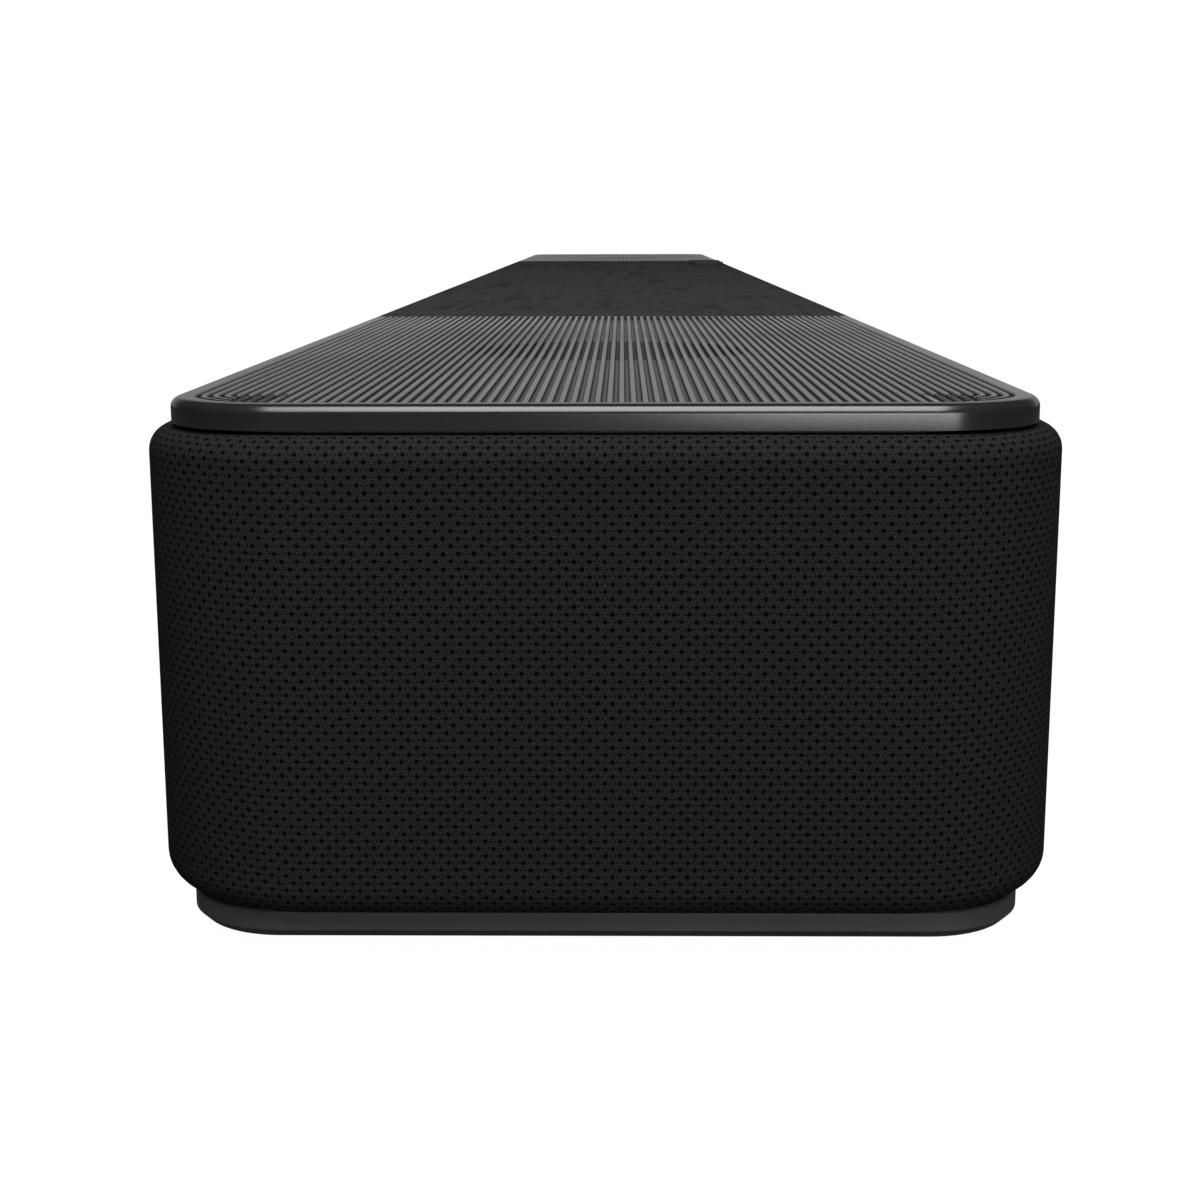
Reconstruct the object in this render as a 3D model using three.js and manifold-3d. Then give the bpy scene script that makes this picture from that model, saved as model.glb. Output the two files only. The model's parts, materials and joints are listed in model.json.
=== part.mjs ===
// A long, low television soundbar that stands on four rubber feet.
// Millimetres. +X runs to the listener's right, -Y faces the listener, +Z is up.
// The origin is on the surface it stands on, at the middle of its length and depth.
import * as THREE from 'three';
import { mergeVertices } from 'three/addons/utils/BufferGeometryUtils.js';
import Module from 'manifold-3d';

// Driving dimensions
const length = 1117.6;
const depth = 126;
const height = 78;
const gap = 0.3; // between pieces that touch on the real object

// Heights of the layers, from the table up
const footHeight = 3.2;
const floorThickness = 3;
const floorTop = footHeight + floorThickness;
const coverBottom = 7.4;
const coverTop = 72.2;
const plateBottom = 72.7;
const knobRise = 1.9; // the knobs' tops are the highest points
const plateTop = height - knobRise;
const panelUnderside = 73.7;
const deckTop = panelUnderside - gap;
const deckUnderside = 71.2;
const deckRimLow = 68.2;

// Outlines, as insets from the length and depth, with their corner radii
const coverRadius = 23.6;
const coverEdge = 4.2;
const clothThickness = 1;
const caseTop = coverBottom + clothThickness;
const plateInset = 3.9;
const plateRadius = 16;
const plateEdge = 1.4;
const caseInset = 4.6;
const caseRadius = 14;
const wallInset = 9;
const wallRadius = 14;
const wallThickness = 3;

// Top panels
const woodHalfLength = 326;
const groovePitch = 1.583;
const grooveWidth = 0.8;
const grooveDepth = 1.2;
const groovesEachSide = 35; // and one on the centre line
const rimWidth = 3.3; // plain rim between the plate's edge and the grooves

// Where things sit along the bar
const frontDriverX = [-360, -75, 75, 360];
const frontDriverNames = ['front_left', 'centre_left', 'centre_right', 'front_right'];
const heightDriverX = 441;
const subwooferX = 240;
const driverZ = 39;
const footX = 480;
const footY = 42;
const keyholeX = 300;
const keyholeZ = 44;
const keyholePlateHalf = 17;
const knobX = { source: 215, volume: 250 };
const knobY = -47;

// Back of the bar
const backHalfLength = 500;
const skinFront = 59; // the rear panel's skin runs from here to the back face
const bayHalfLength = 95;
const bayBottom = 14;
const bayTop = 46;
const bayFront = 41;
const boardTop = 21.6;
const boardThickness = 1.6;
const portBack = bayFront - gap; // the ports' open faces

const cornerSteps = 3;
const wasm = await Module();
wasm.setup();

// ---- Making and cutting solids ----

function solid(geometry) {
  const bare = geometry.index ? geometry.toNonIndexed() : geometry.clone();
  bare.deleteAttribute('normal');
  bare.deleteAttribute('uv');
  const merged = mergeVertices(bare, 1e-4);
  return new wasm.Manifold(new wasm.Mesh({
    numProp: 3,
    vertProperties: merged.attributes.position.array,
    triVerts: new Uint32Array(merged.index.array),
  }));
}

function geometryOf(manifold) {
  const mesh = manifold.getMesh();
  const geometry = new THREE.BufferGeometry();
  geometry.setAttribute('position', new THREE.BufferAttribute(mesh.vertProperties, 3));
  geometry.setIndex(new THREE.BufferAttribute(mesh.triVerts, 1));
  return geometry;
}

function roundedRect(halfX, halfY, radius) {
  const x = halfX - radius;
  const y = halfY - radius;
  const quarter = Math.PI / 2;
  const shape = new THREE.Shape();
  shape.absarc(x, y, radius, 0, quarter);
  shape.absarc(-x, y, radius, quarter, 2 * quarter);
  shape.absarc(-x, -y, radius, 2 * quarter, 3 * quarter);
  shape.absarc(x, -y, radius, 3 * quarter, 4 * quarter);
  return shape;
}

// A block that follows the bar's outline, with its top and bottom edges rounded by edge.
function slab(inset, radius, low, high, edge = 0, edgeSteps = 3) {
  const outline = roundedRect(length / 2 - inset, depth / 2 - inset, radius);
  const geometry = new THREE.ExtrudeGeometry(outline, {
    depth: high - low - 2 * edge,
    curveSegments: cornerSteps,
    bevelEnabled: edge > 0,
    bevelThickness: edge,
    bevelSize: edge,
    bevelOffset: -edge,
    bevelSegments: edgeSteps,
  });
  return solid(geometry.translate(0, 0, low + edge));
}

function boxGeometry(x0, x1, y0, y1, z0, z1) {
  const geometry = new THREE.BoxGeometry(x1 - x0, y1 - y0, z1 - z0);
  return geometry.translate((x0 + x1) / 2, (y0 + y1) / 2, (z0 + z1) / 2);
}

function box(x0, x1, y0, y1, z0, z1) {
  return solid(boxGeometry(x0, x1, y0, y1, z0, z1));
}

// Upright cylinders, and ones that lie along Y through a wall.
function post(x, y, radius, z0, z1, steps = 16) {
  const geometry = new THREE.CylinderGeometry(radius, radius, z1 - z0, steps);
  return solid(geometry.rotateX(Math.PI / 2).translate(x, y, (z0 + z1) / 2));
}

function drill(x, z, radius, y0, y1, steps = 20) {
  const geometry = new THREE.CylinderGeometry(radius, radius, y1 - y0, steps);
  return solid(geometry.translate(x, (y0 + y1) / 2, z));
}

function pill(x, y, halfX, halfY, z0, z1) {
  const outline = roundedRect(halfX, halfY, Math.min(halfX, halfY) - 0.01);
  const geometry = new THREE.ExtrudeGeometry(outline, {
    depth: z1 - z0, curveSegments: cornerSteps, bevelEnabled: false,
  });
  return geometry.translate(x, y, z0);
}

// A turned piece about +Z from a closed list of [radius, height].
function turned(profile, steps) {
  const points = profile.map(([r, z]) => new THREE.Vector2(r, z));
  points.push(points[0].clone());
  return new THREE.LatheGeometry(points, steps).rotateX(Math.PI / 2);
}

const addAll = (first, others) => others.reduce((sum, piece) => sum.add(piece), first);
const cutAll = (first, others) => others.reduce((rest, piece) => rest.subtract(piece), first);

// ---- Materials ----

function material(color, roughness, metalness = 0) {
  return new THREE.MeshStandardMaterial({ color, roughness, metalness });
}

const plastic = material(0x323232, 0.5);
const innerPlastic = material(0x1c1c1c, 0.7);
const ribbedPlastic = material(0x5c5c5c, 0.45);
const cloth = material(0x1e1e1e, 0.95);
const wood = material(0x383838, 0.55);
const rubber = material(0x161616, 0.9);
const steel = material(0x9a9a9c, 0.35, 1);
const magnetSteel = material(0x2c2c2e, 0.5, 0.6);
const coneMetal = material(0x77787a, 0.4, 0.8);
const conePaper = material(0x1b1b1c, 0.85);
const board = material(0x0f3a26, 0.6);
const connector = material(0x121212, 0.35);
const aluminium = material(0x8c8d90, 0.4, 1);
const knobMetal = material(0x3c3c3e, 0.35, 0.7);
const lens = material(0x202226, 0.2);
const tape = material(0xb59a3a, 0.6);

const soundbar = new THREE.Group();

function add(parent, name, shape, finish) {
  const geometry = shape.isBufferGeometry ? shape : geometryOf(shape);
  const mesh = new THREE.Mesh(geometry, finish);
  mesh.name = name;
  parent.add(mesh);
  return mesh;
}

// ---- Screws: one near each corner ----

const screwPlaces = [
  ['front_left', -500, -46.5], ['front_right', 500, -46.5],
  ['back_left', -500, 46.5], ['back_right', 500, 46.5],
];
const screw = { headRadius: 3, headLow: 3.5, headTop: 5.1, shankRadius: 1.5, tip: 15 };

function makeScrews() {
  const { headRadius, headLow, headTop, shankRadius, tip } = screw;
  const socket = 1.3;
  const profile = [
    [0, headLow + 0.9], [socket, headLow + 0.9], [socket, headLow], [headRadius, headLow],
    [headRadius, headTop], [shankRadius, headTop], [shankRadius, tip - 1], [0, tip],
  ];
  for (const [place, x, y] of screwPlaces) {
    const mesh = add(soundbar, `case_screw_${place}`, turned(profile, 10), steel);
    mesh.position.set(x, y, 0);
  }
}

// A boss that a case screw bites into, joined to the wall behind it.
function screwBoss(x, y, behind, low) {
  const top = 17;
  const web = box(x - 4, x + 4, Math.min(y, behind), Math.max(y, behind), low, top);
  return post(x, y, 4.2, low, top, 12).add(web);
}

const screwHoles = () => screwPlaces.map(
  ([, x, y]) => post(x, y, screw.shankRadius + gap, footHeight, screw.tip + gap, 10),
);

// ---- Bottom case: a shallow tray with a slotted grille under each subwoofer ----

function subwooferSlots(x) {
  const slot = 6;
  const pitch = 10;
  const disc = post(x, 0, 43, footHeight - 1, floorTop + 1, 20);
  const bars = [-4, -3, -2, -1, 0, 1, 2, 3, 4].map((i) => box(
    x + i * pitch - slot / 2, x + i * pitch + slot / 2, -50, 50, footHeight - 1, floorTop + 1,
  ));
  return addAll(bars[0], bars.slice(1)).intersect(disc);
}

function bottomCase() {
  const edge = 0.7;
  const rounded = slab(caseInset, caseRadius, footHeight, 20, edge);
  const outer = rounded.subtract(box(-600, 600, -80, 80, caseTop, 30));
  const hollow = slab(caseInset + 2.5, caseRadius - 2.5, floorTop, caseTop + 1);
  const headRecesses = screwPlaces.map(
    ([, x, y]) => post(x, y, screw.headRadius + 0.6, footHeight - 1, screw.headTop + gap, 10),
  );
  const shell = cutAll(outer.subtract(hollow), [
    subwooferSlots(-subwooferX), subwooferSlots(subwooferX), ...headRecesses, ...screwHoles(),
  ]);
  const boardPosts = [[-144, -6], [-144, 30], [24, -6], [24, 30], [46, -6], [46, 30],
    [159, -6], [159, 30]];
  const postTop = boardTop - boardThickness - gap;
  return addAll(shell, boardPosts.map(([x, y]) => post(x, y, 3, floorTop - 1, postTop, 8)));
}

function makeFeet() {
  const corners = [['front_left', -1, -1], ['front_right', 1, -1],
    ['back_left', -1, 1], ['back_right', 1, 1]];
  for (const [place, sx, sy] of corners) {
    const foot = pill(sx * footX, sy * footY, 26, 8, 0, footHeight - gap);
    add(soundbar, `foot_${place}`, foot, rubber);
  }
}

// ---- Fabric cover and the frame that carries it: front, both ends and round to the back ----

const backCut = () => box(-backHalfLength, backHalfLength, 20, 80, 0, 80);

function fabricCover() {
  const t = clothThickness;
  const outer = slab(0, coverRadius, coverBottom, coverTop, coverEdge);
  const inner = slab(t, coverRadius - t, coverBottom + t, coverTop - t, coverEdge - t);
  const topMouth = slab(6, coverRadius - 6, 60, 80);
  const bottomMouth = slab(caseInset - gap, caseRadius - gap, 0, 20);
  return cutAll(outer.subtract(inner), [topMouth, bottomMouth, backCut()]);
}

function grilleFrame() {
  const inset = clothThickness + gap;
  const low = coverBottom + inset;
  const outer = slab(inset, coverRadius - inset, low, coverTop - inset, coverEdge - inset, 1);
  const hollow = slab(3.4, coverRadius - 3.4, 0, 69.1);
  const mouth = slab(6.4, coverRadius - 6.4, 60, 80);
  const windows = frontDriverX.map((x) => drill(x, driverZ, 27, -70, -50, 16));
  windows.push(drill(0, driverZ, 22, -70, -50, 16));
  windows.push(box(134, 186, -70, -50, 34, 48));
  return cutAll(outer, [hollow, mouth, backCut(), ...windows]);
}

// ---- Cabinet: a front baffle, and a rear panel in three lengths ----

const cabinetBottom = floorTop + gap;
const cabinetTop = deckUnderside - gap;
const wallY = depth / 2 - wallInset;

function cabinetRing() {
  const outer = slab(wallInset, wallRadius, cabinetBottom, cabinetTop);
  const inner = slab(wallInset + wallThickness, wallRadius - wallThickness, 0, 80);
  return outer.subtract(inner);
}

function frontBaffle() {
  const half = cabinetRing().subtract(box(-600, 600, -gap / 2, 80, 0, 80));
  const openings = frontDriverX.map((x) => drill(x, driverZ, 27.2, -70, -40, 16));
  openings.push(drill(0, driverZ, 20.5, -70, -40));
  const bosses = screwPlaces.filter(([, , y]) => y < 0)
    .map(([, x, y]) => screwBoss(x, y, -wallY + 1, cabinetBottom));
  return cutAll(addAll(cutAll(half, openings), bosses), screwHoles());
}

const ports = {
  optical: { x: -70, width: 10, height: 10.5, length: 13 },
  data: { x: -45, width: 9.4, height: 3.8, length: 9 },
  video: { x: -18, width: 15.6, height: 6.4, length: 12 },
  subOut: { x: 12, width: 10, height: 12, length: 12 },
  mains: { x: 68, width: 25, height: 17, length: 20 },
};
const portLow = boardTop + gap;

function portHole({ x, width, height: tall }) {
  const slack = 0.4;
  return box(
    x - width / 2 - slack, x + width / 2 + slack, 30, bayFront + 1,
    portLow - slack, portLow + tall + slack,
  );
}

function rearPanel() {
  const b = backHalfLength - gap;
  const face = depth / 2;
  const endWalls = cabinetRing().intersect(box(-600, 600, gap / 2, 80, 0, 80))
    .subtract(box(-b + 3, b - 3, 20, 80, 0, 80));
  const solidParts = [
    box(-b, b, skinFront, face, coverBottom, coverTop),
    box(-b, b, 56.6, skinFront + 1, cabinetTop - 1.5, coverTop),
    box(-b, -b + 3, 51, face, caseTop + gap, deckRimLow - gap),
    box(b - 3, b, 51, face, caseTop + gap, deckRimLow - gap),
  ];
  const bosses = [
    screwBoss(-500, 46.5, wallY - 1, cabinetBottom),
    screwBoss(500, 46.5, wallY - 1, cabinetBottom),
  ];
  const cuts = [
    // the bay's mouth is open below too, where the cables leave
    box(-bayHalfLength, bayHalfLength, skinFront - 1, 70, 0, bayTop),
    ...screwHoles(),
  ];
  return cutAll(addAll(endWalls, [...solidParts, ...bosses]), cuts);
}

// The keyhole plates stand between the panel's three lengths.
function makeRearPanels() {
  const whole = rearPanel();
  const near = keyholeX - keyholePlateHalf - gap;
  const far = keyholeX + keyholePlateHalf + gap;
  for (const [place, x0, x1] of [['left', -600, -far], ['middle', -near, near], ['right', far, 600]]) {
    const part = whole.intersect(box(x0, x1, -80, 80, 0, 90));
    add(soundbar, `rear_panel_${place}`, part, plastic);
  }
}

// The moulded well behind the rear panel that the sockets look into.
function connectionWell() {
  const wall = 2.5;
  const outer = box(
    -bayHalfLength - wall, bayHalfLength + wall, bayFront - wall, skinFront - gap,
    bayBottom - wall, bayTop + wall,
  );
  const hollow = box(-bayHalfLength, bayHalfLength, bayFront, 70, bayBottom, bayTop);
  return cutAll(outer, [hollow, ...Object.values(ports).map(portHole)]);
}

// Steel strips, folded over at the top, with a keyhole and a cup behind it: the bar hangs on
// two wall screws.
function keyholePlate(x) {
  const half = keyholePlateHalf;
  const plate = box(x - half, x + half, 61.3, 62.8, coverBottom, coverTop);
  const fold = box(x - half, x + half, 56.6, 62, coverTop - 1.5, coverTop);
  const cup = box(x - 13, x + 13, 50, 62, keyholeZ - 21, keyholeZ + 21);
  const inside = box(x - 11.5, x + 11.5, 51.5, 61.3, keyholeZ - 19.5, keyholeZ + 19.5);
  const entry = drill(x, keyholeZ - 5, 4.6, 60, 64, 16);
  const slot = box(x - 2.4, x + 2.4, 60, 64, keyholeZ - 5, keyholeZ + 9);
  return cutAll(addAll(plate, [fold, cup]), [inside, entry, slot]);
}

// ---- Top: a deck that closes the cabinet, and three panels over it ----

function topDeck() {
  const outer = slab(6.7, 17, deckRimLow, deckTop);
  const hollow = slab(8.7, 15, deckRimLow - 1, deckUnderside);
  const holes = [-1, 1].map((side) => post(side * heightDriverX, 0, 27, 60, 80, 16));
  holes.push(...Object.values(knobX).map((x) => post(x, knobY, 3.4, 60, 80, 12)));
  return cutAll(outer.subtract(hollow), holes);
}

// The three top panels are cut from one rounded plate with a skirt round its edge.
function topPlate(x0, x1) {
  const block = slab(plateInset, plateRadius, plateBottom - 5, plateTop, plateEdge);
  const part = block.intersect(box(x0, x1, -80, 80, plateBottom, 90));
  return part.subtract(slab(plateInset + 2, plateRadius - 2, 60, panelUnderside));
}

// Sound passes between the ribs, where the plate is opened from below over the driver.
function ribbedPanel(side) {
  const inner = woodHalfLength + gap / 2;
  const edgeX = length / 2 - plateInset;
  const edgeY = depth / 2 - plateInset;
  const cornerX = edgeX - plateRadius;
  const cornerY = edgeY - plateRadius;
  const arc = plateRadius - rimWidth;
  const grooves = [];
  for (let i = -groovesEachSide; i <= groovesEachSide; i += 1) {
    const y = i * groovePitch;
    const beyond = Math.max(0, Math.abs(y) - cornerY);
    const end = cornerX + Math.sqrt(arc * arc - beyond * beyond);
    const x = [side * (inner - 1), side * end].sort((a, b) => a - b);
    const half = grooveWidth / 2;
    grooves.push(box(x[0], x[1], y - half, y + half, plateTop - grooveDepth, 80));
  }
  const x = [side * inner, side * 600].sort((a, b) => a - b);
  const window = post(side * heightDriverX, 0, 26, 60, plateTop - grooveDepth + 0.1, 20);
  return topPlate(x[0], x[1]).subtract(addAll(grooves[0], grooves.slice(1))).subtract(window);
}

const knob = { radius: 8.5, low: 75.5, recess: 74.9, edge: 1 };
const shaftRadius = 2.7;

function woodPanel() {
  const half = woodHalfLength - gap / 2;
  const cuts = Object.values(knobX).flatMap((x) => [
    post(x, knobY, knob.radius + 0.5, knob.recess, 80, 24),
    post(x, knobY, shaftRadius + 0.7, 60, 80, 12),
  ]);
  return cutAll(topPlate(-half, half), cuts);
}

// ---- Control knobs: each turns on a push encoder that also clicks down ----

function makeKnob(name) {
  const group = new THREE.Group();
  group.position.set(knobX[name], knobY, 0);
  soundbar.add(group);
  const socket = shaftRadius + gap;
  const socketTop = 77;
  const cap = [[socket, knob.low], [knob.radius, knob.low]];
  for (const angle of [0, 30, 60, 90].map(THREE.MathUtils.degToRad)) {
    cap.push([
      knob.radius - knob.edge + knob.edge * Math.cos(angle),
      height - knob.edge + knob.edge * Math.sin(angle),
    ]);
  }
  cap.push([0, height], [0, socketTop], [socket, socketTop]);
  add(group, `${name}_knob`, turned(cap, 24), knobMetal);
  add(group, `${name}_shaft`, post(0, 0, shaftRadius, 66.2, socketTop - gap, 12), steel);
  add(group, `${name}_switch_plunger`, post(0, 0, 2.8, 64.9, 65.9, 12), innerPlastic);
  const body = box(-3.7, 3.7, -3.7, 3.7, 62, cabinetTop);
  add(group, `${name}_encoder`, body.subtract(post(0, 0, 3.1, 64.2, 80, 12)), innerPlastic);
}

// ---- Loudspeaker drivers, made facing +Z with the mounting plane at z = 0 ----

const smallDriver = {
  steps: 14, flange: 29, flangeThick: 2, basket: 26.3, inner: 25.3, straight: 6,
  magnet: 17, magnetHeight: 12, depth: 34, coneTop: 0, roll: 1.2, coil: 7, coneDrop: 8,
};
const subwoofer = {
  steps: 18, flange: 50, flangeThick: 2.5, basket: 46, inner: 45, straight: 12,
  magnet: 30, magnetHeight: 16, depth: 46, coneTop: -5, roll: 3.5, coil: 14, coneDrop: 10,
};

function driverFrame(d) {
  const neck = -d.depth + d.magnetHeight;
  return turned([
    [0, -d.depth], [d.magnet, -d.depth], [d.magnet, neck], [d.basket, -d.straight],
    [d.basket, 0], [d.flange, 0], [d.flange, d.flangeThick], [d.inner, d.flangeThick],
    [d.inner, -d.straight], [d.magnet - 1, neck + 1.5], [0, neck + 1.5],
  ], d.steps);
}

// Cone, half-roll surround, dust cap and coil former, which all travel together.
function driverCone(d) {
  const rim = d.inner - 0.4;
  const rollWidth = d.inner * 0.14;
  const t = 0.9;
  const bottom = -d.depth + d.magnetHeight + 1.5 + (d.coneTop < 0 ? 5.5 : 3);
  const z = d.coneTop;
  return turned([
    [rim, z], [rim - rollWidth / 2, z + d.roll], [rim - rollWidth, z], [d.coil, z - d.coneDrop],
    [0, z - d.coneDrop + 3], [0, z - d.coneDrop + 2], [d.coil - 1.5, z - d.coneDrop - 1],
    [d.coil - 1.2, bottom], [d.coil, bottom], [d.coil + 0.6, z - d.coneDrop - t],
    [rim - rollWidth, z - t], [rim - rollWidth / 2, z + d.roll - t], [rim, z - t],
  ], d.steps);
}

function makeDriver(name, size, coneFinish, position, rotation) {
  const group = new THREE.Group();
  group.position.set(...position);
  group.rotation.set(...rotation);
  soundbar.add(group);
  add(group, `${name}_frame`, driverFrame(size), magnetSteel);
  add(group, `${name}_cone`, driverCone(size), coneFinish);
}

function makeDrivers() {
  const quarter = Math.PI / 2;
  frontDriverX.forEach((x, i) => makeDriver(
    `${frontDriverNames[i]}_driver`, smallDriver, coneMetal,
    [x, -wallY - gap, driverZ], [quarter, 0, 0],
  ));
  for (const [name, side] of [['left', -1], ['right', 1]]) {
    makeDriver(
      `${name}_height_driver`, smallDriver, coneMetal,
      [side * heightDriverX, 0, deckUnderside - gap - smallDriver.flangeThick], [0, 0, 0],
    );
    makeDriver(
      `${name}_subwoofer`, subwoofer, conePaper,
      [side * subwooferX, 0, cabinetBottom + subwoofer.flangeThick], [2 * quarter, 0, 0],
    );
  }
}

function makeTweeter() {
  const group = new THREE.Group();
  group.position.set(0, -wallY - gap, driverZ);
  group.rotation.set(Math.PI / 2, 0, 0);
  soundbar.add(group);
  add(group, 'tweeter_horn', turned([
    [9.4, -14], [11.4, -14], [14, -8], [20, -1], [20, 0], [24, 0], [24, 2], [21, 2],
    [18.5, 0], [12, -8],
  ], 20), innerPlastic);
  add(group, 'tweeter_driver', turned([
    [0, -32], [14, -32], [14, -14.3], [9.2, -14.3], [8, -13], [4.5, -10.8], [0, -10],
  ], 16), magnetSteel);
}

// ---- Electronics ----

function boardPlate(x0, x1, y0, y1) {
  return box(x0, x1, y0, y1, boardTop - boardThickness, boardTop);
}

function makeBoards() {
  // processor, memory, amplifier and the wireless module under its can
  const chips = [[-62, -44, 4, 22, 2], [-30, -18, 2, 14, 1.5], [-85, -72, -4, 12, 1.8],
    [-4, 20, -6, 12, 3]];
  const main = addAll(boardPlate(-150, 30, -12, 36), chips.map(
    ([x0, x1, y0, y1, tall]) => box(x0, x1, y0, y1, boardTop - 0.5, boardTop + tall),
  ));
  add(soundbar, 'main_board', main, board);
  const capacitors = [[62, -1], [80, -1]].map(
    ([x, y]) => post(x, y, 7, boardTop - 0.5, boardTop + 26, 14),
  );
  add(soundbar, 'power_board', addAll(boardPlate(40, 165, -12, 36), capacitors), board);

  const low = boardTop + gap;
  const core = box(104, 140, -6, 24, low, low + 26);
  const windings = box(108, 136, -9, 27, low + 5, low + 21);
  add(soundbar, 'transformer', core.add(windings), tape);

  const fins = [0, 1, 2, 3, 4, 5, 6].map((i) => box(
    -140 + i * 6, -137.8 + i * 6, -8, 26, low + 2, low + 24,
  ));
  add(soundbar, 'heat_sink', addAll(box(-140, -101.8, -8, 26, low, low + 3), fins), aluminium);

  const knobMiddle = (knobX.source + knobX.volume) / 2;
  const controlBoard = boxGeometry(knobMiddle - 24, knobMiddle + 24, -50.5, -36, 60.1, 61.7);
  add(soundbar, 'control_board', controlBoard, board);
  add(soundbar, 'display_board', boxGeometry(130, 190, -56, -54.6, 32, 50), board);
  add(soundbar, 'display_lens', boxGeometry(136, 184, -59, -57, 36, 46), lens);
}

function portBody({ x, width, height: tall, length: long }) {
  return box(x - width / 2, x + width / 2, portBack - long, portBack, portLow, portLow + tall);
}

function portCavity({ x, height: tall }, halfX, halfZ, deep) {
  const z = portLow + tall / 2;
  return box(x - halfX, x + halfX, portBack - deep, portBack + 1, z - halfZ, z + halfZ);
}

function makePorts() {
  const { optical, data, video, subOut, mains } = ports;
  add(soundbar, 'optical_port', portBody(optical).subtract(
    portCavity(optical, 3, 3, 8),
  ), connector);
  add(soundbar, 'data_port', portBody(data).subtract(portCavity(data, 4.2, 1.3, 7)), steel);
  add(soundbar, 'video_port', portBody(video).subtract(
    portCavity(video, 7.1, 2.3, 10),
  ), steel);

  // phono socket: a block with a round barrel that stands into the bay
  const jackZ = portLow + 6;
  const barrel = drill(subOut.x, jackZ, 4.15, portBack - 1, portBack + 8, 16);
  const jackBore = drill(subOut.x, jackZ, 1.7, portBack - 6, portBack + 9, 12);
  const jack = portBody(subOut).add(barrel).subtract(jackBore);
  add(soundbar, 'subwoofer_out_jack', jack, steel);

  // two-pin mains inlet: an oval well with its pins
  const z = portLow + mains.height / 2;
  const well = addAll(portCavity(mains, 4.3, 4.8, 14), [-4.3, 4.3].map(
    (dx) => drill(mains.x + dx, z, 4.8, portBack - 14, portBack + 1, 16),
  ));
  const pins = [-4.3, 4.3].map((dx) => drill(mains.x + dx, z, 1.2, portBack - 15, portBack - 4, 10));
  add(soundbar, 'mains_inlet', addAll(portBody(mains).subtract(well), pins), connector);
}

// ---- Assembly ----

add(soundbar, 'bottom_case', bottomCase(), plastic);
makeFeet();
makeScrews();
add(soundbar, 'fabric_cover', fabricCover(), cloth);
add(soundbar, 'grille_frame', grilleFrame(), innerPlastic);
add(soundbar, 'front_baffle', frontBaffle(), innerPlastic);
makeRearPanels();
add(soundbar, 'connection_well', connectionWell(), innerPlastic);
add(soundbar, 'keyhole_plate_left', keyholePlate(-keyholeX), steel);
add(soundbar, 'keyhole_plate_right', keyholePlate(keyholeX), steel);
add(soundbar, 'top_deck', topDeck(), innerPlastic);
add(soundbar, 'ribbed_panel_left', ribbedPanel(-1), ribbedPlastic);
add(soundbar, 'ribbed_panel_right', ribbedPanel(1), ribbedPlastic);
add(soundbar, 'wood_panel', woodPanel(), wood);
makeKnob('source');
makeKnob('volume');
makeDrivers();
makeTweeter();
makeBoards();
makePorts();

export default soundbar;
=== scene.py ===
import json
from math import cos, pi, radians, sin, sqrt

import bmesh
import bpy
from mathutils import Matrix, Vector


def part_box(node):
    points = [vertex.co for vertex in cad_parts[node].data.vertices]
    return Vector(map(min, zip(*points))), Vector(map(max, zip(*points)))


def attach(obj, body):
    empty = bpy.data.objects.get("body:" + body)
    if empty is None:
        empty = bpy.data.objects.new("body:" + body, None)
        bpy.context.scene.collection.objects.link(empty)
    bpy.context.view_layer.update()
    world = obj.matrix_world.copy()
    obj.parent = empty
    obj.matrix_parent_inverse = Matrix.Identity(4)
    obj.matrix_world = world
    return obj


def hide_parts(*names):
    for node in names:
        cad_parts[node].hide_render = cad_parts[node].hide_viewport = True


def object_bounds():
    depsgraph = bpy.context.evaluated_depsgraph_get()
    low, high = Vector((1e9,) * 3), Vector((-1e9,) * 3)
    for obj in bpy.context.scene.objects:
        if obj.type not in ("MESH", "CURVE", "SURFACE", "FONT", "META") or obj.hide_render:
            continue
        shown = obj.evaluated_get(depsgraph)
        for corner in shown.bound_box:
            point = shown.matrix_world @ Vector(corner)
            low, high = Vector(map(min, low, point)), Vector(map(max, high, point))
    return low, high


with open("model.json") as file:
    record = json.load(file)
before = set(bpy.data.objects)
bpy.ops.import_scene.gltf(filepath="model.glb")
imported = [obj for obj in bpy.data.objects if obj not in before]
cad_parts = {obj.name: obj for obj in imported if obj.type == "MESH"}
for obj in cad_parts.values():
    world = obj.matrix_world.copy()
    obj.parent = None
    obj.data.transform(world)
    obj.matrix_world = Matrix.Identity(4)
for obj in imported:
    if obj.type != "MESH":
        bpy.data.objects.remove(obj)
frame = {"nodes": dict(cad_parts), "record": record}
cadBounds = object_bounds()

# A long, low television soundbar in metres: +X along the bar, -Y towards the listener
mm = 0.001
cadHigh = Vector(cadBounds[1])
slotOf = {part["node"]: part["material_slot"] for part in frame["record"]["subparts"]}


def makeCamera():
    view = {"place": (-0.7979, -0.00245, 0.09927), "lens": 56.75,
            "turn": 0.6875, "down": 11.342, "roll": -0.122}
    data = bpy.data.cameras.new("studioCamera")
    data.lens = view["lens"]
    data.sensor_width = 36
    data.clip_start = 0.01
    camera = bpy.data.objects.new("studioCamera", data)
    bpy.context.scene.collection.objects.link(camera)
    camera.matrix_world = (Matrix.Translation(view["place"])
                           @ Matrix.Rotation(radians(view["turn"] - 90), 4, "Z")
                           @ Matrix.Rotation(radians(90 - view["down"]), 4, "X")
                           @ Matrix.Rotation(radians(view["roll"]), 4, "Z"))
    bpy.context.scene.camera = camera


makeCamera()
print("camera placed")


# small helpers for node trees

def addNode(tree, kind, inputs=None, **settings):
    made = tree.nodes.new(kind)
    for name, value in settings.items():
        setattr(made, name, value)
    for key, value in (inputs or {}).items():
        if isinstance(value, bpy.types.NodeSocket):
            tree.links.new(value, made.inputs[key])
        else:
            made.inputs[key].default_value = value
    return made


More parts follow.
